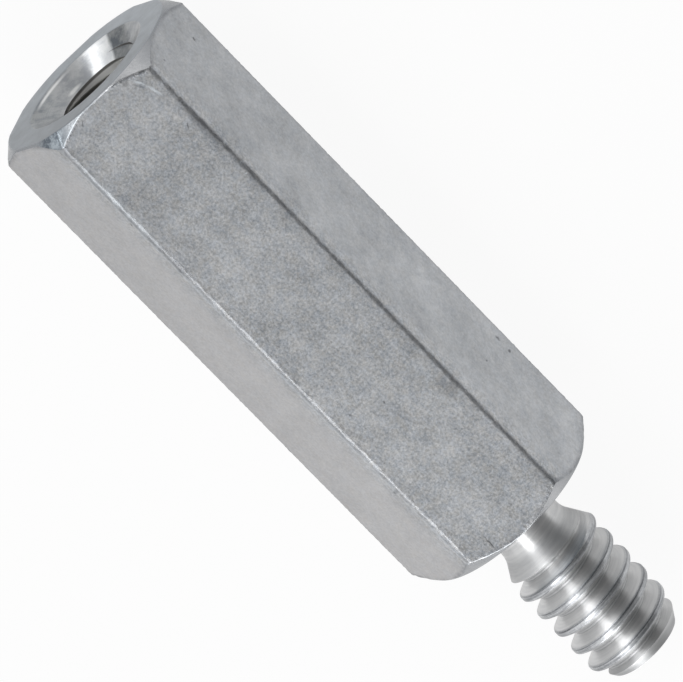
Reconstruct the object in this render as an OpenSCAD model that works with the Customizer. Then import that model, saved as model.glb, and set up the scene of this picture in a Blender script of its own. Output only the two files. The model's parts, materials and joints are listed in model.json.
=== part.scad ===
// Male-female hex standoff, turned in one piece from hexagonal steel bar.
// The X axis runs along the part: x = 0 is the shoulder face that a board seats on,
// the stud points to +X and the tapped end faces -X. One hex flat faces +Z.

/* [Hex body] */
// Distance across the flats of the bar
across_flats = 6.25; // [5.5:0.05:8]
// Length of the hex body between its two end faces
body_length = 19.15; // [16:0.05:50]
// Length of the turned chamfer along each corner at the tapped end
tapped_end_chamfer = 0.44; // [0.1:0.02:1]
// Length of the turned chamfer along each corner at the stud end
stud_end_chamfer = 0.5; // [0.1:0.02:1]
// Angle between the corner chamfers and the end faces
corner_chamfer_angle = 45; // [35:1:60]

/* [Tapped hole] */
// Diameter of the hole that is drilled for the tap
tapping_hole_d = 2.75; // [2:0.05:3.2]
// Depth of the drilled hole, from the end face to where its point begins
tapping_hole_depth = 10.5; // [5:0.1:13]
// Included angle of the drill's point
drill_point_angle = 118; // [90:1:135]
// Diameter of the countersink at the end face
countersink_d = 4.56; // [3.4:0.02:5]
// Included angle of the countersink
countersink_angle = 118; // [82:1:120]

/* [Stud] */
// Length of the stud, from the shoulder face to its tip
stud_length = 6.35; // [5:0.05:12]
// Diameter of the plain neck next to the shoulder
neck_d = 2.35; // [2:0.05:2.6]
// Length of the plain neck
neck_length = 1.2; // [0.5:0.05:2]
// Angle between the axis and the flare from the neck up to the thread
flare_angle = 30; // [20:1:60]
// Diameter of the flat face at the stud's tip
tip_face_d = 2.54; // [2:0.02:2.8]
// Angle between the axis and the chamfer at the stud's tip
tip_chamfer_angle = 31; // [20:1:60]

/* [Thread of the stud] */
// Diameter over the thread's crests
thread_major_d = 3.38; // [3.1:0.02:3.6]
// Turns of the thread in each inch of its length
threads_per_inch = 32; // [28:1:36]
// Depth of the thread's groove below its crests
thread_depth = 0.48; // [0.3:0.01:0.5]
// Distance from the shoulder face to where the groove begins, in the flare
thread_start = 1.45; // [1.3:0.01:2.5]
// Share of a turn over which the groove deepens to its full depth
thread_runout = 0.55; // [0.2:0.05:1]

/* [Hidden] */
$fn = 96;
zinc_plate = "#A6AAAE";
// Radius across the corners of the bar
corner_r = across_flats / (2 * cos(30));
// Radii of the two end faces, left by the corner chamfers
tapped_face_r = corner_r - tapped_end_chamfer / tan(corner_chamfer_angle);
shoulder_r = corner_r - stud_end_chamfer / tan(corner_chamfer_angle);
crest_r = thread_major_d / 2;
thread_pitch = 25.4 / threads_per_inch;
// Included angle of the thread's groove
thread_angle = 60;
// Width of the flat at the bottom of the groove
groove_floor = thread_pitch / 12;
// Direction about the axis in which the groove begins
groove_start_angle = -20;
// Sections of the groove in each turn
groove_steps = 32;
// How far the groove's sections reach past the crests
groove_over = 0.08;
// How far a cutting or chamfering outline runs past the surface that it cuts
cut_over = 0.5;
// How far the stud's outline starts inside the body
stud_root = 1;

// Turns what is drawn along Z to lie along X, with Z's top at +X
module along_x() {
  rotate([0, 90, 0]) children();
}

// The bar: a hexagonal prism with a flat facing +Z
module hex_bar() {
  translate([-body_length, 0, 0]) along_x() rotate(30) cylinder(r = corner_r, h = body_length, $fn = 6);
}

// Outline of both end faces and of the turned corner chamfers behind them
module chamfer_outline() {
  over = cut_over * tan(corner_chamfer_angle);
  polygon([
    [0, -body_length],
    [tapped_face_r, -body_length],
    [corner_r + cut_over, -body_length + tapped_end_chamfer + over],
    [corner_r + cut_over, -stud_end_chamfer - over],
    [shoulder_r, 0],
    [0, 0]
  ]);
}

// Outline of the drilled hole, with the countersink at its mouth
module tapping_hole_outline() {
  hole_r = tapping_hole_d / 2;
  sink_slope = tan(countersink_angle / 2);
  sink_depth = (countersink_d / 2 - hole_r) / sink_slope;
  point_length = hole_r / tan(drill_point_angle / 2);
  polygon([
    [0, -cut_over],
    [countersink_d / 2 + cut_over * sink_slope, -cut_over],
    [hole_r, sink_depth],
    [hole_r, tapping_hole_depth],
    [0, tapping_hole_depth + point_length]
  ]);
}

// Outline of the stud before it is threaded: neck, flare, full diameter and chamfered tip
module stud_outline() {
  neck_r = neck_d / 2;
  tip_r = tip_face_d / 2;
  flare_length = (crest_r - neck_r) / tan(flare_angle);
  tip_chamfer = (crest_r - tip_r) / tan(tip_chamfer_angle);
  polygon([
    [0, -stud_root],
    [neck_r, -stud_root],
    [neck_r, neck_length],
    [crest_r, neck_length + flare_length],
    [crest_r, stud_length - tip_chamfer],
    [tip_r, stud_length],
    [0, stud_length]
  ]);
}

// Four corners, as radius and height, of the V-shaped groove's section after a number of
// steps: the two ends of its floor, then its two open corners just outside the crests
function groove_section(step) =
  let (
    height = thread_start + thread_pitch * step / groove_steps,
    depth = thread_depth * min(1, step / (groove_steps * thread_runout)),
    half_open = groove_floor / 2 + (depth + groove_over) * tan(thread_angle / 2)
  ) [
    [crest_r - depth, height - groove_floor / 2],
    [crest_r - depth, height + groove_floor / 2],
    [crest_r + groove_over, height + half_open],
    [crest_r + groove_over, height - half_open]
  ];

// The right-hand thread's groove: its sections stand at equal steps round the helix, from
// the flare to one turn past the tip, and triangles join each section to the next
module thread_groove() {
  steps = ceil((stud_length - thread_start + thread_pitch) / thread_pitch * groove_steps);
  last = 4 * steps;
  points = [
    for (i = [0:steps], corner = groove_section(i))
      let (angle = groove_start_angle + 360 * i / groove_steps)
        [corner[0] * cos(angle), corner[0] * sin(angle), corner[1]]
  ];
  sides = [
    for (i = [0:steps - 1], k = [0:3])
      let (a = 4 * i + k, b = 4 * i + (k + 1) % 4)
        each [[a, a + 4, b + 4], [a, b + 4, b]]
  ];
  ends = [[0, 1, 2], [0, 2, 3], [last, last + 2, last + 1], [last, last + 3, last + 2]];
  polyhedron(points, concat(sides, ends));
}

module hex_body() {
  difference() {
    intersection() {
      hex_bar();
      along_x() rotate_extrude() chamfer_outline();
    }
    translate([-body_length, 0, 0]) along_x() rotate_extrude() tapping_hole_outline();
  }
}

module threaded_stud() {
  along_x() difference() {
    rotate_extrude() stud_outline();
    thread_groove();
  }
}

module standoff() {
  color(zinc_plate) union() {
    hex_body();
    threaded_stud();
  }
}

standoff();
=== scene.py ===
"""Zinc-plated hex standoff, turned in one piece: a hex bar with a tapped hole in one end
and a threaded stud on the other."""
import json
import math

import bmesh
import bpy
from mathutils import Matrix, Vector


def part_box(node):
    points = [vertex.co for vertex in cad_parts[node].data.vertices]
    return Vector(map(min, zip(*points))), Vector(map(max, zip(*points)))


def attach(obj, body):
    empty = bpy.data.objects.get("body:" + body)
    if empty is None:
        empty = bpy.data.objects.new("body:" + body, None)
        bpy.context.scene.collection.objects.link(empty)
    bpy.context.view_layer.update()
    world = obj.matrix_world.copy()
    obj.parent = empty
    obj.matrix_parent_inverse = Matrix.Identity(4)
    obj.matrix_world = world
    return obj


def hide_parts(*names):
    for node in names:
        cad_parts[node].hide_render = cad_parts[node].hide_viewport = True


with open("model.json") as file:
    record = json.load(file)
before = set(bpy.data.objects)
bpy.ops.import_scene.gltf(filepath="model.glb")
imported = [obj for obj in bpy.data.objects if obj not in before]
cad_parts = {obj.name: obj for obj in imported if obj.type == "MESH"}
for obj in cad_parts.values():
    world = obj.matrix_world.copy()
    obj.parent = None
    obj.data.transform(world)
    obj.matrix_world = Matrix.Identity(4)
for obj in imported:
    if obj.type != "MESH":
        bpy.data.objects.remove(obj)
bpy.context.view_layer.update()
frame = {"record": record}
for loaded in bpy.context.selected_objects:
    loaded.select_set(False)

# ---------------------------------------------------------------------------------------
# The hex body: free-cutting steel bar, drawn to a hexagon with slightly rounded corners.
# Both ends are faced and chamfered in the lathe, and plating and tumbling leave each edge
# a little round and nicked. All modelling is in millimetres and comes down to metres last.

MM = 0.001
low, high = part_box("standoff")
across_flats = (high.z - low.z) / MM
body_length = -low.x / MM
chamfer_angle = 45
tapped_end_chamfer = 0.44
stud_end_chamfer = 0.5
corner_round = 0.2
tapped_end_round = 0.1
stud_end_round = 0.08
corner_r = across_flats / (2 * math.cos(math.radians(30)))
tapped_face_r = corner_r - tapped_end_chamfer
shoulder_r = corner_r - stud_end_chamfer
# The flats stand out a little, so that the rounded corners reach as far as sharp ones.
flat_reach = across_flats / 2 + corner_round * (1 - math.cos(math.radians(30)))
steps_from_corner = [0, 0.03, 0.08, 0.16, 0.27, 0.4, 0.54, 0.7, 0.86, 1.03, 1.21, 1.39, 1.57]
corner_steps = 6
rim_steps = 4
support_step = 0.06
long_parts = 4
row_spacing = 0.08
merge_within = 0.0005
nick_reach = 0.12
nicks_from_end = 0.15


def pick(kind, test):
    """In edit mode, selects only the vertices, edges or faces that pass a test."""
    bpy.ops.mesh.select_all(action="DESELECT")
    bpy.ops.mesh.select_mode(type=kind)
    shaping = bmesh.from_edit_mesh(bpy.context.object.data)
    shaping.normal_update()
    parts = {"VERT": shaping.verts, "EDGE": shaping.edges, "FACE": shaping.faces}[kind]
    for part in parts:
        part.select = test(part)
    shaping.select_flush_mode()
    bmesh.update_edit_mesh(bpy.context.object.data)


def finish_with(piece, kind, **settings):
    """Adds a modifier to a piece, sets it and applies it."""
    modifier = piece.modifiers.new(kind.title(), kind)
    for name, value in settings.items():
        setattr(modifier, name, value)
    bpy.context.view_layer.objects.active = piece
    bpy.ops.object.modifier_apply(modifier=modifier.name)


def section_columns(edge_r):
    """Columns round the bar: where each one's edge ball has its centre, and the direction
    straight out of the bar there."""
    half_flat = (flat_reach - corner_round) * math.tan(math.radians(30))
    places = [half_flat - step for step in steps_from_corner]
    places += [0] + [-place for place in reversed(places)]
    columns = []
    for side in range(6):
        turn = math.radians(60 * side + 30)
        out = Vector((0, math.cos(turn), math.sin(turn)))
        along = Vector((0, math.sin(turn), -math.cos(turn)))
        for place in places:
            columns.append((out * (flat_reach - edge_r) + along * place, out))
        corner = out * (flat_reach - corner_round) + along * places[-1]
        for step in range(1, corner_steps):
            bent = turn + math.radians(60) * step / corner_steps
            out = Vector((0, math.cos(bent), math.sin(bent)))
            columns.append((corner + out * (corner_round - edge_r), out))
    return columns + columns[:1]


def rim_rows(end_x, inward, face_r, edge_r):
    """Rows of points over the rim of one end, where a ball of the edge radius rolls from
    the end face over the turned chamfer and on to the flats."""
    ball_x = end_x + inward * edge_r
    ball_r = face_r - edge_r * math.tan(math.radians(chamfer_angle / 2))
    face_way = Vector((-inward, 0, 0))
    rows = [[] for step in range(2 * rim_steps + 4)]
    for centre, out in section_columns(edge_r):
        spoke = centre.normalized()
        on_face = Vector((ball_x, 0, 0)) + spoke * min(ball_r, centre.length)
        on_flat = Vector((ball_x + inward * max(0, centre.length - ball_r), 0, 0)) + centre
        cone_way = (face_way + spoke).normalized()
        share = [step / rim_steps for step in range(rim_steps + 1)]
        over_rim = [on_face + edge_r * face_way.slerp(cone_way, part) for part in share]
        over_side = [on_flat + edge_r * cone_way.slerp(out, part) for part in share]
        before = over_rim[0] - spoke * support_step
        after = over_side[-1] + Vector((inward * support_step, 0, 0))
        for row, point in zip(rows, [before] + over_rim + over_side + [after]):
            row.append(point)
    return rows


rows = rim_rows(-body_length, 1, tapped_face_r, tapped_end_round)
rows += reversed(rim_rows(0, -1, shoulder_r, stud_end_round))
points = [point for row in rows for point in row]
bpy.ops.mesh.primitive_grid_add(x_subdivisions=len(rows[0]) - 1, y_subdivisions=len(rows) - 1)
body = bpy.context.object
for vertex, point in zip(body.data.vertices, points):
    vertex.co = point
bpy.ops.object.mode_set(mode="EDIT")
bpy.ops.mesh.select_all(action="SELECT")
bpy.ops.mesh.remove_doubles(threshold=merge_within)
pick("EDGE", lambda edge: edge.calc_length() > body_length / 2)
bpy.ops.mesh.subdivide(number_cuts=long_parts - 1)
pick("EDGE", lambda edge: edge.calc_length() > body_length / (long_parts + 1))
bpy.ops.mesh.subdivide(number_cuts=round(body_length / long_parts / row_spacing) - 1)
bpy.ops.mesh.select_all(action="SELECT")
bpy.ops.mesh.fill_holes(sides=0)
bpy.ops.mesh.normals_make_consistent(inside=False)
bpy.ops.object.mode_set(mode="OBJECT")


def edge_gap(point):
    """How far a point of the bar's surface lies from the nearest edge: it lies on one of
    the bar's faces, and the next nearest face makes the edge."""
    spoke = point.yz.length
    gaps = [point.x + body_length, -point.x]
    gaps.append((point.x + body_length + tapped_face_r - spoke) * math.sqrt(0.5))
    gaps.append((-point.x + shoulder_r - spoke) * math.sqrt(0.5))
    for side in range(6):
        turn = math.radians(60 * side + 30)
        gaps.append(flat_reach - point.y * math.cos(turn) - point.z * math.sin(turn))
    return sorted(gaps)[1]


def wear(piece, group, grain, strength, contrast=1, brightness=1):
    """Pushes a group of a piece's vertices in or out by a cloudy pattern, in mm: both ways
    where the pattern is plain, and one way where it has more contrast."""
    pattern = bpy.data.textures.new(group, "CLOUDS")
    pattern.noise_scale = grain
    pattern.contrast = contrast
    pattern.intensity = brightness
    finish_with(
        piece, "DISPLACE", vertex_group=group, texture=pattern, texture_coords="LOCAL",
        strength=strength, mid_level=0.5 if contrast == 1 else 0,
    )


edges = body.vertex_groups.new(name="edges")
for vertex in body.data.vertices:
    gap = edge_gap(vertex.co)
    from_end = min(vertex.co.x + body_length, -vertex.co.x)
    if gap < nick_reach and from_end > nicks_from_end:
        edges.add([vertex.index], 1 - gap / nick_reach, "REPLACE")
wear(body, "edges", grain=0.4, strength=0.006)
wear(body, "edges", grain=0.1, strength=-0.012, contrast=5, brightness=0.55)


def linear(colour):
    """An sRGB hex colour as the linear values that a shader takes."""
    shares = [int(colour[at:at + 2], 16) / 255 for at in (1, 3, 5)]
    return [s / 12.92 if s <= 0.04045 else ((s + 0.055) / 1.055) ** 2.4 for s in shares] + [1]


def add_node(material, kind, values={}, stops=(), **settings):
    """Adds a node to a material, with its settings, its inputs' values or links, and a
    colour ramp's stops, and gives its outputs."""
    node = material.node_tree.nodes.new("ShaderNode" + kind)
    for name, value in settings.items():
        setattr(node, name, value)
    for name, value in values.items():
        if isinstance(value, bpy.types.NodeSocket):
            material.node_tree.links.new(value, node.inputs[name])
        else:
            node.inputs[name].default_value = value
    for number, (position, colour) in enumerate(stops):
        ramp = node.color_ramp.elements
        stop = ramp[number] if number < 2 else ramp.new(position)
        stop.position = position
        stop.color = linear(colour)
    return node.outputs


def new_material(name, roughness):
    """A material for a metal surface, and its shader."""
    material = bpy.data.materials.new(name)
    material.use_nodes = True
    shader = material.node_tree.nodes["Principled BSDF"]
    shader.inputs["Metallic"].default_value = 1
    shader.inputs["Roughness"].default_value = roughness
    return material, shader


def per_mm(size):
    """Noise scale, for coordinates in metres, that gives features of a size in mm."""
    return 1 / (size * MM)


def spot(material, place, centre, size, turn=0):
    """How far a place lies inside a soft-edged ellipsoid, turned about Z by some degrees:
    1 in the inner part of its radius, and 0 outside."""
    inner_part = 0.4
    near = add_node(material, "Mapping", {
        "Vector": place, "Location": Vector(centre) * MM, "Rotation": (0, 0, math.radians(turn)),
        "Scale": Vector(size) * MM,
    }, vector_type="TEXTURE")["Vector"]
    out = add_node(material, "VectorMath", {0: near}, operation="LENGTH")["Value"]
    return add_node(material, "MapRange", {"Value": out, "From Min": 1, "From Max": inner_part})[0]


def lay_over(material, tint, cover, strength, colour):
    """Lays a colour over a tint, as strongly as the cover's strength there."""
    share = add_node(material, "Math", {0: cover, 1: strength}, operation="MULTIPLY")[0]
    if not isinstance(colour, bpy.types.NodeSocket):
        colour = linear(colour)
    return add_node(material, "MixRGB", {"Fac": share, "Color1": tint, "Color2": colour})[0]


# Clear zinc plate on drawn steel, on the flats: satin grey with soft stains. Its crystals,
# a few hundredths of a millimetre across, are drawn about 0.09 mm wide, so that they show
# as a speckle with a faint blue and straw cast, strongest on the flat that faces up. Two
# tones that the lamps don't give are painted in: painted light, plainer and paler on the
# lamps' side, and painted shade, darker towards the tapped end.
plate, shader = new_material("zinc_on_drawn_flats", 0.31)
place = add_node(plate, "TexCoord")["Object"]
axes = add_node(plate, "SeparateXYZ", {0: place})
stain = add_node(plate, "TexNoise", {
    "Vector": place, "Scale": per_mm(2.4), "Detail": 6, "Roughness": 0.85,
})["Fac"]
stained = add_node(plate, "ValToRGB", {"Fac": stain}, stops=[(0.3, "#999CA0"), (0.7, "#C7C9CC")])
# Painted light: the flats on the lamps' side are plainer and paler.
painted_light_lamp_side = add_node(plate, "MapRange", {
    "Value": axes["Y"], "From Min": low.z * 0.75, "From Max": low.z * 0.5, "To Min": 0.75, "To Max": 0,
})[0]
tint = add_node(plate, "MixRGB", {
    "Fac": painted_light_lamp_side, "Color1": stained["Color"], "Color2": linear("#BFBDBD"),
})[0]
grain = add_node(plate, "TexNoise", {
    "Vector": place, "Scale": per_mm(0.085), "Detail": 1, "Roughness": 0.8,
})["Fac"]
cloud = add_node(plate, "TexNoise", {
    "Vector": place, "Scale": per_mm(1.0), "Detail": 4, "Roughness": 0.95,
})["Fac"]
mottle = add_node(plate, "MixRGB", {"Fac": 0.5, "Color1": grain, "Color2": cloud})[0]
mottled = add_node(plate, "ValToRGB", {"Fac": mottle}, stops=[(0.38, "#5F6267"), (0.62, "#E6E8EC")])
hue = add_node(plate, "TexNoise", {
    "Vector": place, "Scale": per_mm(0.35), "Detail": 4, "Roughness": 0.9,
})["Fac"]
hued = add_node(plate, "ValToRGB", {"Fac": hue}, stops=[(0.4, "#8496A8"), (0.6, "#B4AA94")])
speckle = add_node(plate, "MixRGB", {
    "Fac": 0.33, "Color1": mottled["Color"], "Color2": hued["Color"],
})[0]
rubbed = add_node(plate, "MapRange", {
    "Value": axes["Z"], "From Min": high.z * 0.8, "From Max": high.z * 0.97, "To Min": 0.2, "To Max": 0.5,
})[0]
tint = add_node(plate, "MixRGB", {"Fac": rubbed, "Color1": tint, "Color2": speckle})[0]
# Painted shade: darker towards the tapped end.
painted_shade_tapped_end = add_node(plate, "MapRange", {
    "Value": axes["X"], "From Min": low.x, "From Max": 0, "To Min": 0.16, "To Max": 0,
})[0]
tint = add_node(plate, "MixRGB", {"Fac": painted_shade_tapped_end, "Color1": tint, "Color2": linear("#6A6C70")})[0]

# Scratches and stains from handling, and painted shade and painted highlights, each as its
# centre, its half lengths, its turn and its strength. Their outlines wander by a few hundredths
# of a millimetre. The longest of them are painted lines of shade and light beside two long
# edges, which the lamps don't give; a broad dim patch and a dark patch at the tapped end's
# corner are painted shade too.
wander = 0.12
wander_noise = add_node(plate, "TexNoise", {"Vector": place, "Scale": per_mm(wander), "Detail": 2})
wandered = add_node(plate, "VectorMath", {
    0: wander_noise["Color"], 1: [wander * MM] * 3, 2: place,
}, operation="MULTIPLY_ADD")["Vector"]
wandered = add_node(plate, "VectorMath", {
    0: wandered, 1: [wander / 2 * MM] * 3,
}, operation="SUBTRACT")["Vector"]
stains_and_painted_shade = [
    ((-16.61, 1.41, 3.12), (0.16, 0.035, 0.2), -40, 0.5),
    ((-0.55, -0.9, 3.12), (0.42, 0.03, 0.2), 0, 0.6),
    ((-18.86, -0.81, 3.12), (0.17, 0.03, 0.2), -40, 0.45),
    ((-18.5, 1.18, 3.12), (0.28, 0.035, 0.2), 29, 0.25),
    ((-17.1, 1.7, 3.1), (0.5, 0.14, 0.2), 0, 0.35),
    ((-16.3, 1.7, 3.1), (1.0, 0.2, 0.2), 0, 0.45),
    ((-14.2, 1.7, 3.1), (1.2, 0.1, 0.2), 0, 0.3),
    ((-18.85, 1.42, 3.12), (0.36, 0.1, 0.2), 68, 0.7),
    ((-19.0, 1.03, 3.12), (0.36, 0.1, 0.2), 72, 0.7),
    ((-19.09, 0.65, 3.12), (0.32, 0.08, 0.2), 80, 0.65),
    ((-19.13, 0.35, 3.12), (0.2, 0.07, 0.2), 85, 0.6),
    ((-18.85, 0.93, 3.12), (0.1, 0.12, 0.2), 0, 0.4),
    ((-5.1, 1.52, 3.1), (0.65, 0.35, 0.2), 0, 0.3),
    ((-0.6, 1.82, 3.05), (0.3, 0.14, 0.2), 0, 0.45),
    ((-15.55, -1.8, 3.1), (0.2, 0.14, 0.2), 0, 0.6),
    ((-13.46, -1.8, 3.1), (0.2, 0.14, 0.2), 0, 0.6),
    ((-3.73, -1.9, 3.05), (0.08, 0.2, 0.2), 20, 0.6),
    ((-0.06, -0.3, 3.12), (0.16, 0.5, 0.2), 0, 0.3),
    ((-0.22, -1.1, 3.12), (0.18, 0.35, 0.2), 0, 0.45),
    ((-0.42, -1.65, 3.12), (0.2, 0.25, 0.2), 0, 0.3),
    # Painted shade: lines beside the long edges, and a broad dim patch.
    ((-9.6, -1.77, 3.14), (24, 0.14, 0.2), 0, 0.2),
    ((-16.2, -1.78, 3.13), (5.0, 0.16, 0.2), 0, 0.62),
    ((-9.0, 1.6, 3.08), (14, 0.35, 0.2), 0, 0.12),
    ((-15.2, -1.3, 3.1), (3.2, 0.7, 0.3), 0, 0.12),
    ((-18.97, -1.1, 3.12), (0.1, 0.3, 0.2), 18, 0.3),
    # Painted shade at the tapped end's corner.
    ((-18.5, -1.8, 3.05), (0.4, 0.25, 0.3), 0, 0.4),
    ((-6.1, -0.2, 3.12), (0.08, 0.05, 0.1), 0, 0.6),
    ((-6.5, -1.2, 3.12), (0.14, 0.05, 0.1), 20, 0.45),
    ((-6.8, 2.17, 2.49), (0.9, 0.35, 0.35), 0, 0.15),
    ((-17.82, 3.16, 0.78), (0.1, 0.06, 0.1), 0, 0.8),
    ((-18.41, 2.19, 2.45), (0.08, 0.06, 0.08), 0, 0.6),
    ((-4.3, 3.4, 0.36), (0.14, 0.08, 0.1), 0, 0.7),
    ((-3.75, 3.39, 0.38), (0.1, 0.08, 0.1), 0, 0.7),
    ((-4.35, 2.76, 1.47), (0.07, 0.06, 0.07), 0, 0.7),
    ((-15.52, -1.89, 2.98), (0.07, 0.06, 0.06), 0, 0.8),
]
scratches_and_painted_highlights = [
    ((-18.58, 1.26, 3.12), (0.24, 0.05, 0.2), 29, 0.8),
    ((-18.12, 1.42, 3.12), (0.33, 0.05, 0.2), 13, 0.8),
    ((-17.29, 1.77, 3.1), (0.05, 0.05, 0.1), 0, 0.8),
    ((-14.67, 1.77, 3.1), (0.05, 0.05, 0.1), 0, 0.8),
    ((-14.3, 1.67, 3.1), (0.04, 0.06, 0.1), 0, 0.8),
    # Painted highlights beside the lower long edge.
    ((-16.3, -1.75, 3.06), (2.7, 0.2, 0.2), 0, 0.4),
    ((-9.6, -1.87, 3.05), (24, 0.09, 0.09), 0, 0.35),
]
for marks, colour in ((stains_and_painted_shade, "#3C3D40"), (scratches_and_painted_highlights, "#CDD3D8")):
    cover = 0.0
    for centre, size, turn, strength in marks:
        found = spot(plate, wandered, centre, size, turn)
        found = add_node(plate, "Math", {0: found, 1: strength}, operation="MULTIPLY")[0]
        cover = add_node(plate, "Math", {0: cover, 1: found}, operation="MAXIMUM")[0]
    tint = add_node(plate, "MixRGB", {"Fac": cover, "Color1": tint, "Color2": linear(colour)})[0]

# Along the edges the plate is knocked: chipped darker in places, rougher and finely nicked.
# The attribute runs from 0 to 1 towards an edge, and is set on the finished mesh.
worn_here = add_node(plate, "Attribute", attribute_name="worn")["Fac"]
on_edge = add_node(plate, "MapRange", {"Value": worn_here, "From Min": 0.5, "From Max": 0.9})[0]
chips = add_node(plate, "TexNoise", {
    "Vector": place, "Scale": per_mm(0.6), "Detail": 3, "Roughness": 0.8,
})["Fac"]
chipped = add_node(plate, "MapRange", {
    "Value": chips, "From Min": 0.4, "From Max": 0.6, "To Min": 0.1, "To Max": 0.7,
})[0]
tint = lay_over(plate, tint, on_edge, chipped, "#7A7C80")
plate.node_tree.links.new(tint, shader.inputs["Base Color"])
rough = add_node(plate, "MapRange", {"Value": on_edge, "To Min": 0.31, "To Max": 0.4})[0]
plate.node_tree.links.new(rough, shader.inputs["Roughness"])
waves = add_node(plate, "TexNoise", {
    "Vector": place, "Scale": per_mm(0.3), "Detail": 4, "Roughness": 0.8,
})["Fac"]
bump = add_node(plate, "Bump", {"Height": waves, "Distance": 0.008 * MM})["Normal"]
nicks = add_node(plate, "TexNoise", {
    "Vector": place, "Scale": per_mm(0.16), "Detail": 3, "Roughness": 0.7,
})["Fac"]
bump = add_node(plate, "Bump", {
    "Height": nicks, "Distance": 0.03 * MM, "Strength": on_edge, "Normal": bump,
})["Normal"]
plate.node_tree.links.new(bump, shader.inputs["Normal"])

# Clear zinc plate on the faced ends: even and bluish, as no die or hand has rubbed it, and
# with painted light that makes it a little paler towards one side.
faced, shader = new_material("zinc_on_faced_ends", 0.35)
place = add_node(faced, "TexCoord")["Object"]
painted_light_lean = add_node(faced, "VectorMath", {0: place, 1: (0, 0.45, -1)}, operation="DOT_PRODUCT")["Value"]
stain = add_node(faced, "TexNoise", {
    "Vector": place, "Scale": per_mm(1.6), "Detail": 5, "Roughness": 0.8,
})["Fac"]
painted_light_per_m = 50
# The stain here also carries the painted light, paler towards one side.
stain = add_node(faced, "Math", {0: painted_light_lean, 1: painted_light_per_m, 2: stain}, operation="MULTIPLY_ADD")[0]
stained = add_node(faced, "ValToRGB", {"Fac": stain}, stops=[(0.3, "#888D92"), (0.7, "#A4AAB0")])
faced.node_tree.links.new(stained["Color"], shader.inputs["Base Color"])

# Clear zinc plate on the turned chamfers: the tool burnishes them, so they are the glossiest
# part of the body. Painted shade holds down the lamps' glare: greyer away from the middle of
# a side, darker at two rims, which are also rougher, and a mottled dark patch at one corner.
chamfered, shader = new_material("zinc_on_turned_chamfers", 0.22)
place = add_node(chamfered, "TexCoord")["Object"]
sideways = add_node(chamfered, "SeparateXYZ", {0: place})["Y"]
sideways = add_node(chamfered, "Math", {0: sideways}, operation="ABSOLUTE")[0]
painted_shade_off_middle = add_node(chamfered, "MapRange", {
    "Value": sideways, "From Min": 1.5 * MM, "From Max": 2.4 * MM,
})[0]
stain = add_node(chamfered, "TexNoise", {
    "Vector": place, "Scale": per_mm(0.5), "Detail": 5, "Roughness": 0.9,
})["Fac"]
stained = add_node(chamfered, "ValToRGB", {"Fac": stain}, stops=[(0.3, "#AAACAF"), (0.7, "#C4C5C7")])
tint = add_node(chamfered, "MixRGB", {
    "Fac": painted_shade_off_middle, "Color1": stained["Color"], "Color2": linear("#8F9296"),
})[0]
# Painted shade, with more roughness, at the rims of both ends.
rim_rough_and_painted_shade = spot(chamfered, place, (-19.0, -1.0, 3.1), (0.9, 2.0, 1.2))
stud_rim_painted_shade = spot(chamfered, place, (-0.2, -0.8, 3.1), (0.6, 1.6, 0.6))
stud_rim_painted_shade = add_node(chamfered, "Math", {0: stud_rim_painted_shade, 1: 0.55}, operation="MULTIPLY")[0]
rim_rough_and_painted_shade = add_node(chamfered, "Math", {0: rim_rough_and_painted_shade, 1: stud_rim_painted_shade}, operation="MAXIMUM")[0]
tint = lay_over(chamfered, tint, rim_rough_and_painted_shade, 0.9, "#82868A")
rough = add_node(chamfered, "MapRange", {"Value": rim_rough_and_painted_shade, "To Min": 0.22, "To Max": 0.36})[0]
chamfered.node_tree.links.new(rough, shader.inputs["Roughness"])
# A mottled patch of painted shade near the tapped end's corner.
corner_painted_shade = spot(chamfered, place, (-19.0, -1.9, 2.7), (0.8, 0.75, 0.75))
mottle = add_node(chamfered, "TexNoise", {
    "Vector": place, "Scale": per_mm(0.25), "Detail": 4, "Roughness": 0.8,
})["Fac"]
mottled = add_node(chamfered, "ValToRGB", {"Fac": mottle}, stops=[(0.4, "#4A545E"), (0.6, "#98A1A8")])
tint = lay_over(chamfered, tint, corner_painted_shade, 0.8, mottled["Color"])
chamfered.node_tree.links.new(tint, shader.inputs["Base Color"])
nicks = add_node(chamfered, "TexNoise", {
    "Vector": place, "Scale": per_mm(0.12), "Detail": 3, "Roughness": 0.7,
})["Fac"]
bump = add_node(chamfered, "Bump", {"Height": nicks, "Distance": 0.006 * MM})["Normal"]
chamfered.node_tree.links.new(bump, shader.inputs["Normal"])

# ---------------------------------------------------------------------------------------
# The tapped hole in the body's end: drilled blind into the same steel, countersunk, and cut
# with a right-hand tap. The countersink is left bright and streaked by its cutting edges, and
# down the hole the plate is duller, with painted light on the crests and painted shade in the grooves.

tapped_hole = next(m for m in frame["record"]["mounts"] if m["name"] == "tapped_hole")
bore_r = tapped_hole["dims"]["r_mm"]
hole_depth = 10.5
drill_angle = 118
drill_slope = math.tan(math.radians(drill_angle / 2))
sink_angle = 118
sink_slope = math.tan(math.radians(sink_angle / 2))
sink_r = 2.28
sink_rim_round = 0.045
drill_overhang = 0.5
drill_tip_r = 0.001
drill_around = 108
on_plane = 0.001
on_circle = 0.01
thread_pitch = 25.4 / 32
tap_r = 1.7
tap_overlap = 0.15
tap_turns = 12
tap_steps = 72
tap_turned = 72.6


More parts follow.
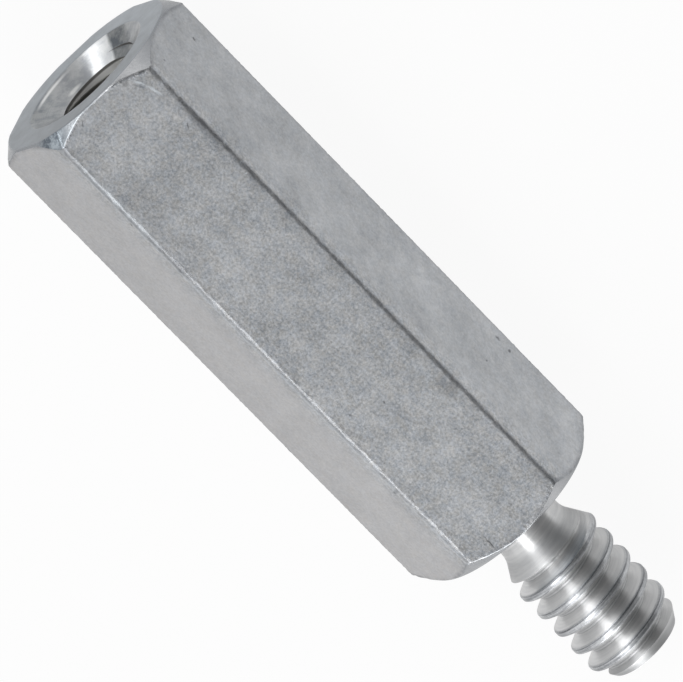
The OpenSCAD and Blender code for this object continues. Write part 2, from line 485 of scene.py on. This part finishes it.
def turn_solid(name, outline, around):
    """A solid turned about X: a disc at the outline's first point, drawn out from each
    point of the outline, (x, radius), to the next."""
    bpy.ops.mesh.primitive_circle_add(
        vertices=around, radius=outline[0][1], fill_type="NGON",
        location=(outline[0][0], 0, 0), rotation=(0, math.pi / 2, 0),
    )
    solid = bpy.context.object
    solid.name = name
    bpy.ops.object.transform_apply(location=True, rotation=True)
    bpy.ops.object.mode_set(mode="EDIT")
    bpy.ops.mesh.select_all(action="SELECT")
    for (x, radius), (next_x, next_radius) in zip(outline, outline[1:]):
        bpy.ops.mesh.extrude_region_move(TRANSFORM_OT_translate={"value": (next_x - x, 0, 0)})
        scale = next_radius / radius
        bpy.ops.transform.resize(value=(1, scale, scale), center_override=(next_x, 0, 0))
    bpy.ops.mesh.select_all(action="SELECT")
    bpy.ops.mesh.normals_make_consistent(inside=False)
    bpy.ops.object.mode_set(mode="OBJECT")
    return solid


def combine(piece, other, operation):
    """Cuts another solid out of a piece, or joins it on, and removes the other."""
    finish_with(piece, "BOOLEAN", operation=operation, object=other, solver="EXACT")
    bpy.data.objects.remove(other)


def round_rim(x, radius, size):
    """In edit mode, rounds the piece's edges that lie at a place along X. Where a radius is
    given, only those at that radius are rounded."""
    pick("EDGE", lambda edge: all(
        abs(v.co.x - x) < on_plane and (radius is None or abs(v.co.yz.length - radius) < on_circle)
        for v in edge.verts
    ))
    bpy.ops.mesh.bevel(offset=size, segments=3, affect="EDGES")


def sweep_thread(name, section, pitch, turns, steps, start_x, start_turn):
    """A cutter for a right-hand thread: a section, (along X, radius), carried round X."""
    bpy.ops.mesh.primitive_circle_add(vertices=len(section), fill_type="NOTHING")
    cutter = bpy.context.object
    cutter.name = name
    for vertex, (along, radius) in zip(cutter.data.vertices, section):
        vertex.co = (along, 0, radius)
    finish_with(
        cutter, "SCREW", axis="X", angle=2 * math.pi * turns, screw_offset=pitch * turns,
        steps=round(turns * steps), render_steps=round(turns * steps), use_normal_calculate=True,
    )
    cutter.location.x = start_x
    cutter.rotation_euler.x = start_turn
    bpy.ops.object.select_all(action="DESELECT")
    cutter.select_set(True)
    bpy.ops.object.transform_apply(location=True, rotation=True)
    bpy.ops.object.mode_set(mode="EDIT")
    bpy.ops.mesh.select_all(action="SELECT")
    bpy.ops.mesh.fill_holes(sides=0)
    bpy.ops.mesh.normals_make_consistent(inside=False)
    bpy.ops.object.mode_set(mode="OBJECT")
    return cutter


drill_outline = [
    (-body_length - drill_overhang, sink_r + drill_overhang * sink_slope),
    (-body_length + (sink_r - bore_r) / sink_slope, bore_r),
    (-body_length + hole_depth, bore_r),
    (-body_length + hole_depth + bore_r / drill_slope, drill_tip_r),
]
combine(body, turn_solid("drill", drill_outline, drill_around), "DIFFERENCE")
bpy.ops.object.mode_set(mode="EDIT")
round_rim(-body_length, sink_r, sink_rim_round)
bpy.ops.object.mode_set(mode="OBJECT")
tap_inner_r = bore_r - tap_overlap
tap_flank = (tap_r - tap_inner_r) * math.tan(math.radians(30))
tap_section = [
    (-thread_pitch / 16, tap_r),
    (thread_pitch / 16, tap_r),
    (thread_pitch / 16 + tap_flank, tap_inner_r),
    (-thread_pitch / 16 - tap_flank, tap_inner_r),
]
tap = sweep_thread(
    "tap", tap_section, thread_pitch, tap_turns, tap_steps,
    -body_length - thread_pitch, math.radians(tap_turned),
)
combine(body, tap, "DIFFERENCE")


def lathe_marks(material, shader, gloss_across, lead, width, depth):
    """Marks of a width and depth that the tool left round the X axis, along a helix where
    there is a lead, and the streaked gloss that they give. The outputs are the place, its
    distance from the axis, the marks, and the normal that they give."""
    place = add_node(material, "TexCoord")["Object"]
    around = add_node(material, "VectorMath", {0: (1, 0, 0), 1: place}, operation="CROSS_PRODUCT")
    material.node_tree.links.new(around["Vector"], shader.inputs["Tangent"])
    shader.inputs["Anisotropic"].default_value = gloss_across
    shader.inputs["Anisotropic Rotation"].default_value = 0.25
    axes = add_node(material, "SeparateXYZ", {0: place})
    turn = add_node(material, "Math", {0: axes["Y"], 1: axes["Z"]}, operation="ARCTAN2")[0]
    led = add_node(material, "Math", {
        0: turn, 1: lead * MM / (2 * math.pi), 2: axes["X"],
    }, operation="MULTIPLY_ADD")[0]
    along = add_node(material, "Math", {0: led, 1: per_mm(width)}, operation="MULTIPLY")[0]
    spoke = add_node(material, "VectorMath", {0: place, 1: (0, 1, 1)}, operation="MULTIPLY")[0]
    spoke = add_node(material, "VectorMath", {0: spoke}, operation="LENGTH")["Value"]
    out = add_node(material, "Math", {0: spoke, 1: per_mm(width)}, operation="MULTIPLY")[0]
    streak = add_node(material, "CombineXYZ", {"X": along, "Y": turn, "Z": out})[0]
    marks = add_node(material, "TexNoise", {
        "Vector": streak, "Scale": 1, "Detail": 3, "Roughness": 0.6,
    })["Fac"]
    normal = add_node(material, "Bump", {"Height": marks, "Distance": depth * MM})["Normal"]
    material.node_tree.links.new(normal, shader.inputs["Normal"])
    return place, spoke, marks, normal


# Clear zinc plate on the countersink: cut bright, its gloss streaked round the cone by fine
# tool marks, drawn 0.06 mm wide so that they show. Its broad pale and dark bands, its glint
# and its streak stand in for reflections: they are painted, as the lamps don't give them.
sunk, shader = new_material("zinc_on_countersink", 0.35)
place, spoke = lathe_marks(sunk, shader, 0.9, 0, 0.06, 0.012)[:2]
axes = add_node(sunk, "SeparateXYZ", {0: place})
slant = add_node(sunk, "Math", {0: axes["X"], 1: 0.5, 2: axes["Y"]}, operation="MULTIPLY_ADD")[0]
slant = add_node(sunk, "Math", {0: slant, 1: low.x * 0.5}, operation="SUBTRACT")[0]
blotch = add_node(sunk, "TexNoise", {
    "Vector": place, "Scale": per_mm(0.5), "Detail": 4, "Roughness": 0.7,
})["Fac"]
slant = add_node(sunk, "Math", {0: blotch, 1: 0.2 * MM, 2: slant}, operation="MULTIPLY_ADD")[0]
band_reach = 2
band = add_node(sunk, "MapRange", {
    "Value": slant, "From Min": -band_reach * MM, "From Max": band_reach * MM,
})[0]
# Painted reflections: the pale and dark bands across the cone.
band_colours = [
    (-2, "#85898D"), (-1.4, "#999DA1"), (-0.8, "#AAACAF"), (0.3, "#AAACAF"), (0.55, "#DEE0E2"),
    (1.22, "#DEE0E2"), (1.32, "#65696D"), (1.84, "#65696D"), (2, "#A6A8AB"),
]
banded = add_node(sunk, "ValToRGB", {"Fac": band}, stops=[
    ((across + band_reach) / (2 * band_reach), colour) for across, colour in band_colours
])
blotched = add_node(sunk, "ValToRGB", {"Fac": blotch}, stops=[(0.4, "#56606A"), (0.6, "#DCDCD8")])
tint = add_node(sunk, "MixRGB", {
    "Fac": 0.22, "Color1": banded["Color"], "Color2": blotched["Color"],
})[0]
# The glint is a painted highlight.
glint = spot(sunk, place, (-18.69, -0.68, -1.34), (0.06, 0.4, 0.25))
tint = lay_over(sunk, tint, glint, 0.6, "#F0F0EE")
# The streak, a painted highlight 0.09 mm wide, runs round part of the cone just inside the rim.
rise = add_node(sunk, "MapRange", {"Value": spoke, "From Min": 2.1 * MM, "From Max": 2.15 * MM})[0]
fall = add_node(sunk, "MapRange", {"Value": spoke, "From Min": 2.23 * MM, "From Max": 2.19 * MM})[0]
streak = add_node(sunk, "Math", {0: rise, 1: fall}, operation="MULTIPLY")[0]
near = spot(sunk, place, (-19.05, -1.2, -1.6), (0.5, 1.05, 0.9))
streak = add_node(sunk, "Math", {0: streak, 1: near}, operation="MULTIPLY")[0]
tint = lay_over(sunk, tint, streak, 0.7, "#FFFFFF")
sunk.node_tree.links.new(tint, shader.inputs["Base Color"])

# Zinc plate on the tapped turns: dull, with painted light on the crests that the drill left
# and painted shade in the grooves, and darker painted shade next to the countersink.
bored, shader = new_material("zinc_in_tapped_hole", 0.5)
place = add_node(bored, "TexCoord")["Object"]
spoke = add_node(bored, "VectorMath", {0: place, 1: (0, 1, 1)}, operation="MULTIPLY")[0]
spoke = add_node(bored, "VectorMath", {0: spoke}, operation="LENGTH")["Value"]
groove = add_node(bored, "MapRange", {
    "Value": spoke, "From Min": (bore_r + 0.01) * MM, "From Max": (bore_r + 0.12) * MM,
})[0]
crest_light_and_groove_shade = add_node(bored, "ValToRGB", {"Fac": groove}, stops=[(0, "#E2E2E0"), (1, "#9A9896")])
depth = add_node(bored, "SeparateXYZ", {0: place})["X"]
first_turn_painted_shade = add_node(bored, "MapRange", {
    "Value": depth, "From Min": low.x + 0.62 * MM, "From Max": low.x + 0.66 * MM,
    "To Min": 0.9, "To Max": 0,
})[0]
tint = add_node(bored, "MixRGB", {
    "Fac": first_turn_painted_shade, "Color1": crest_light_and_groove_shade["Color"], "Color2": linear("#6C6A68"),
})[0]
bored.node_tree.links.new(tint, shader.inputs["Base Color"])

# ---------------------------------------------------------------------------------------
# The stud at the body's other end: turned down from the same bar with a relieved neck, and
# threaded with a right-hand die, which rolls a seam over the crest. The thread starts in the
# flare next to the neck and runs off the chamfered tip.

stud_length = high.x / MM
neck_r = 2.35 / 2
neck_length = 1.2
neck_round = 0.2
shoulder_round = 0.08
flare_angle = 30
crest_r = 3.38 / 2
tip_r = 2.54 / 2
tip_angle = 31
tip_round = 0.05
flare_end = neck_length + (crest_r - neck_r) / math.tan(math.radians(flare_angle))
tip_start = stud_length - (crest_r - tip_r) / math.tan(math.radians(tip_angle))
stud_overlap = 1
stud_around = 108
thread_depth = 0.48
thread_start = 1.45
thread_turns = 7.5
runout_turns = 0.55
die_turned = 160
root_round = 0.057
crest_round = 0.09
crest_lift = 0.003
seam_depth = 0.035
side_along = 0.02
side_out = 0.005
die_clearance = 0.1
uneven_from = 0.2
uneven_to = stud_length - 0.1


def die_section():
    """The die's cut, as (along X, distance from the axis): a rounded root, straight flanks
    at 30 degrees, and rounded crests to either side, one of them with a seam."""
    root = crest_r - thread_depth
    flank = math.tan(math.radians(30))
    top = crest_r + crest_lift
    crest_centre = thread_pitch / 24 + (top - crest_round / 2 - root) * flank
    crest_centre += crest_round * math.sin(math.radians(60))
    half = []
    for turn in (0, 30, 60):
        bent = math.radians(turn)
        half.append((root_round * math.sin(bent), root + root_round * (1 - math.cos(bent))))
    for turn in (60, 45, 30, 15):
        bent = math.radians(turn)
        along = crest_centre - crest_round * math.sin(bent)
        half.append((along, top - crest_round * (1 - math.cos(bent))))
    along, radius = half[-1]
    half += [(along + side_along, radius + side_out), (along + side_along, radius + die_clearance)]
    seamed = list(half)
    along, radius = half[-4]
    seamed[-4] = (along, radius - seam_depth)
    return [(-along, radius) for along, radius in reversed(half[1:])] + seamed


stud_outline = [
    (-stud_overlap, neck_r),
    (neck_length, neck_r),
    (flare_end, crest_r),
    (tip_start, crest_r),
    (stud_length, tip_r),
]
stud = turn_solid("stud", stud_outline, stud_around)
bpy.ops.object.mode_set(mode="EDIT")
round_rim(neck_length, None, neck_round)
round_rim(stud_length, None, tip_round)
bpy.ops.object.mode_set(mode="OBJECT")
half_step = 0.5 / stud_around
die = sweep_thread(
    "die", die_section(), thread_pitch, thread_turns, stud_around,
    thread_start + half_step * thread_pitch, math.radians(die_turned) + 2 * math.pi * half_step,
)
section_size = len(die_section())
for number, vertex in enumerate(die.data.vertices):
    turned_by = number // section_size / stud_around
    lift = thread_depth * max(0, 1 - turned_by / runout_turns)
    radius = vertex.co.yz.length
    vertex.co.y *= (radius + lift) / radius
    vertex.co.z *= (radius + lift) / radius
combine(stud, die, "DIFFERENCE")
threaded = stud.vertex_groups.new(name="threaded")
threaded.add([v.index for v in stud.data.vertices if uneven_from < v.co.x < uneven_to], 1, "REPLACE")
wear(stud, "threaded", grain=0.3, strength=0.007)
combine(body, stud, "UNION")
bpy.ops.object.mode_set(mode="EDIT")
round_rim(0, neck_r, shoulder_round)
bpy.ops.object.mode_set(mode="OBJECT")

# Clear zinc plate on the turned stud: bright, and streaked by fine tool marks along the
# thread, drawn 0.08 mm wide, coarser than real ones, so that they show. The flare and the
# tip's chamfer are rougher, and the crests are rolled and torn into dark and light specks.
# Painted light and shade, as the lamps don't give them: the flare and the thread paler, the tip darker.
turned, shader = new_material("zinc_on_turned_stud", 0.31)
die_line = 0.08
place, spoke, marks, normal = lathe_marks(turned, shader, 0.85, thread_pitch, die_line, 0.006)
streaked = add_node(turned, "ValToRGB", {"Fac": marks}, stops=[(0.3, "#BABBBC"), (0.7, "#D0D0D0")])
flare_rough_and_painted_light = spot(turned, place, (1.5, 0, 0), (0.55, 4, 4))
tip_rough_and_painted_shade = spot(turned, place, (stud_length, 0, 0), (0.58, 4, 4))
rough = add_node(turned, "Math", {0: flare_rough_and_painted_light, 1: 0.27, 2: 0.31}, operation="MULTIPLY_ADD")[0]
rough = add_node(turned, "Math", {0: tip_rough_and_painted_shade, 1: 0.25, 2: rough}, operation="MULTIPLY_ADD")[0]
turned.node_tree.links.new(rough, shader.inputs["Roughness"])
# Painted light: the flare paler.
tint = lay_over(turned, streaked["Color"], flare_rough_and_painted_light, 0.25, "#F0F0F0")
along = add_node(turned, "SeparateXYZ", {0: place})["X"]
# Painted light: the thread paler from its start.
painted_light_on_thread = add_node(turned, "MapRange", {
    "Value": along, "From Min": 1.9 * MM, "From Max": 2.2 * MM, "To Min": 0, "To Max": 0.2,
})[0]
tint = add_node(turned, "MixRGB", {"Fac": painted_light_on_thread, "Color1": tint, "Color2": linear("#F4F4F4")})[0]
# Painted shade: the tip darker.
tint = lay_over(turned, tint, tip_rough_and_painted_shade, 0.5, "#8E9092")
speck = spot(turned, place, (1.62, -0.86, 0.9), (0.08, 0.07, 0.2))
tint = lay_over(turned, tint, speck, 0.7, "#3C3D40")
crest = add_node(turned, "MapRange", {
    "Value": spoke, "From Min": (crest_r - 0.09) * MM, "From Max": (crest_r - 0.03) * MM,
})[0]
tear = add_node(turned, "TexNoise", {
    "Vector": place, "Scale": per_mm(0.09), "Detail": 3, "Roughness": 0.8,
})["Fac"]
torn = add_node(turned, "ValToRGB", {"Fac": tear}, stops=[(0.35, "#8C8E92"), (0.65, "#BEC0C2")])
rolled = add_node(turned, "ValToRGB", {"Fac": marks}, stops=[(0.4, "#7A7C80"), (0.6, "#D2D4D6")])
crested = add_node(turned, "MixRGB", {"Fac": 0.5, "Color1": torn["Color"], "Color2": rolled["Color"]})[0]
tint = add_node(turned, "MixRGB", {"Fac": crest, "Color1": tint, "Color2": crested})[0]
turned.node_tree.links.new(tint, shader.inputs["Base Color"])
normal = add_node(turned, "Bump", {
    "Height": tear, "Distance": 0.005 * MM, "Strength": crest, "Normal": normal,
})["Normal"]
turned.node_tree.links.new(normal, shader.inputs["Normal"])

# Clear zinc plate in the thread's root: the same marks, but duller and darker.
rooted, shader = new_material("zinc_in_thread_root", 0.44)
lathe_marks(rooted, shader, 0.85, thread_pitch, die_line, 0.006)
shader.inputs["Base Color"].default_value = linear("#B8B9BA")

# ---------------------------------------------------------------------------------------
# The whole standoff: body, hole and stud are one piece of steel under one coat of zinc. It is
# marked where its edges wear, shaded, brought down to metres, and each of its faces is given
# the finish of the surface that it lies on.

worn_reach = 0.25
smooth_angle = 32
margin = 0.02 * MM
stud_limit_r = 0.6 * shoulder_r * MM
root_limit_r = (crest_r - thread_depth + 0.035) * MM
cone_depth = 0.45 * MM
shoulder_depth = body_length * MM
end_facing = 0.92
cone_facing = 0.7
chamfer_facing = 0.35
bpy.ops.object.select_all(action="DESELECT")
body.select_set(True)
bpy.context.view_layer.objects.active = body
body.name = "plated_standoff"
worn = body.data.attributes.new("worn", "FLOAT", "POINT")
for vertex in body.data.vertices:
    on_body = vertex.co.x < on_plane and vertex.co.yz.length > sink_r
    worn.data[vertex.index].value = max(0, 1 - edge_gap(vertex.co) / worn_reach) if on_body else 0
bpy.ops.object.shade_smooth_by_angle(angle=math.radians(smooth_angle))
finish_with(body, "WEIGHTED_NORMAL", keep_sharp=True)
bpy.ops.transform.resize(value=(MM, MM, MM), center_override=(0, 0, 0))
bpy.ops.object.transform_apply(scale=True)

finishes = [plate, faced, sunk, turned, bored, chamfered, rooted]
for material in finishes:
    body.data.materials.append(material)
for face in body.data.polygons:
    corners = [body.data.vertices[v].co for v in face.vertices]
    reach = max(corner.yz.length for corner in corners)
    depth = min(corner.x for corner in corners) + shoulder_depth
    deepest = max(corner.x for corner in corners) + shoulder_depth
    facing_end = abs(face.normal.x)
    if depth > shoulder_depth - margin and reach < stud_limit_r:
        in_root = reach < root_limit_r and depth > shoulder_depth + thread_start * MM
        finish = rooted if in_root else turned
    elif reach < sink_r * MM + margin and deepest > margin:
        finish = sunk if facing_end > cone_facing and depth < cone_depth else bored
    elif facing_end > end_facing:
        finish = faced
    else:
        finish = chamfered if facing_end > chamfer_facing else plate
    face.material_index = finishes.index(finish)
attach(body, "root")
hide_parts("standoff")

# ---------------------------------------------------------------------------------------
# The table that the standoff lies on stands for a sheet of matt white card, but it is staged:
# it glows, nearly white to the camera, so that only a trace of shadow shows, and more dimly
# to the metal that mirrors it.

table_size = 3
bpy.ops.mesh.primitive_plane_add(size=table_size, location=(0, 0, low.z))
table = bpy.context.object
table.name = "table"
paper, shader = new_material("white_card", 0.9)
shader.inputs["Metallic"].default_value = 0
shader.inputs["Base Color"].default_value = linear("#C8C8C8")
path = add_node(paper, "LightPath")
reflected = add_node(paper, "Math", {
    0: path["Is Glossy Ray"], 1: path["Is Transmission Ray"],
}, operation="MAXIMUM")[0]
spread = add_node(paper, "TexCoord")["Object"]
spread = add_node(paper, "SeparateXYZ", {0: spread})["Y"]
# How white the metal sees the card: least just beside the standoff, on the lamps' side.
near_share = add_node(paper, "MapRange", {
    "Value": spread, "From Min": low.z, "From Max": high.z, "To Min": 0.36, "To Max": 0.6,
})[0]
far_share = add_node(paper, "MapRange", {
    "Value": spread, "From Min": 1.6 * low.z, "From Max": 4 * low.z, "To Min": 0.3, "To Max": 0.7,
})[0]
white_share = add_node(paper, "Math", {0: near_share, 1: far_share}, operation="MAXIMUM")[0]
reflected = add_node(paper, "Math", {0: reflected, 1: white_share}, operation="MULTIPLY")[0]
seen = add_node(paper, "Math", {0: path["Is Camera Ray"], 1: 0.93}, operation="MULTIPLY")[0]
share = add_node(paper, "Math", {0: seen, 1: reflected}, operation="MAXIMUM")[0]
white = add_node(paper, "Emission", {"Color": (1, 1, 1, 1), "Strength": 1})[0]
surface = add_node(paper, "MixShader", {0: share, 1: shader.outputs[0], 2: white})[0]
paper.node_tree.links.new(surface, paper.node_tree.nodes["Material Output"].inputs["Surface"])
table.data.materials.append(paper)

# ---------------------------------------------------------------------------------------
# The studio: a pale world, brighter low down and on the side that the lamps stand on, four
# soft lamps, each a lit sheet of white cloth half a metre away, and a camera with a long lens.

world = bpy.data.worlds.new("studio")
bpy.context.scene.world = world
world.use_nodes = True
facing = add_node(world, "TexCoord")["Generated"]
facing = add_node(world, "SeparateXYZ", {0: facing})
glow = add_node(world, "MapRange", {
    "Value": facing["Z"], "From Min": 0.16, "From Max": 0.42, "To Min": 1, "To Max": 0,
})[0]
lit = add_node(world, "MapRange", {
    "Value": facing["Y"], "From Min": -0.75, "From Max": 0.43, "To Min": 1.13, "To Max": 0.29,
})[0]
glow = add_node(world, "Math", {0: glow, 1: lit}, operation="MAXIMUM")[0]
background = world.node_tree.nodes["Background"]
background.inputs["Color"].default_value = (1, 1, 1, 1)
world.node_tree.links.new(glow, background.inputs["Strength"])
lamp_distance = 0.5


def soft_lamp(name, towards, length, width, radiance):
    """A soft lamp that looks at the part from a direction, with its length level."""
    data = bpy.data.lights.new(name, "AREA")
    data.shape = "RECTANGLE"
    data.size = length
    data.size_y = width
    data.energy = radiance * math.pi * length * width
    lamp = bpy.data.objects.new(name, data)
    bpy.context.scene.collection.objects.link(lamp)
    lamp.location = Vector(towards).normalized() * lamp_distance
    lamp.rotation_euler = Vector(towards).to_track_quat("Z", "Y").to_euler()


soft_lamp("key", towards=(0, -0.54, 0.842), length=2.8, width=0.24, radiance=2.0)
soft_lamp("far_left", towards=(-0.82, -0.31, 0.48), length=0.2, width=0.3, radiance=4)
soft_lamp("left", towards=(-0.774, -0.562, 0.292), length=0.23, width=0.09, radiance=3.5)
soft_lamp("right", towards=(0.93, -0.32, 0.13), length=0.28, width=0.16, radiance=5.5)

# The camera looks down on the standoff from past its tapped end, which is at the top left.
swing, tilt, roll = math.radians(16.05), math.radians(4.958), math.radians(45.595)
aim_along = -7.523
aim_across = 0.1
camera_distance = 269.31
along = Vector((math.cos(swing), math.sin(swing) * math.sin(tilt), math.sin(swing) * math.cos(tilt)))
across = Vector((0, -math.cos(tilt), math.sin(tilt)))
back = Vector((-math.sin(swing), math.cos(swing) * math.sin(tilt), math.cos(swing) * math.cos(tilt)))
right = math.cos(roll) * along - math.sin(roll) * across
up = -math.sin(roll) * along - math.cos(roll) * across
lens = bpy.data.cameras.new("camera")
lens.sensor_width = 36
lens.lens = 464.3
camera = bpy.data.objects.new("camera", lens)
bpy.context.scene.collection.objects.link(camera)
camera.matrix_world = Matrix((right, up, back)).transposed().to_4x4()
camera.location = Vector((aim_along, 0, 0)) * MM + aim_across * MM * across + camera_distance * MM * back
bpy.context.scene.camera = camera
bpy.context.scene.view_settings.view_transform = "Standard"
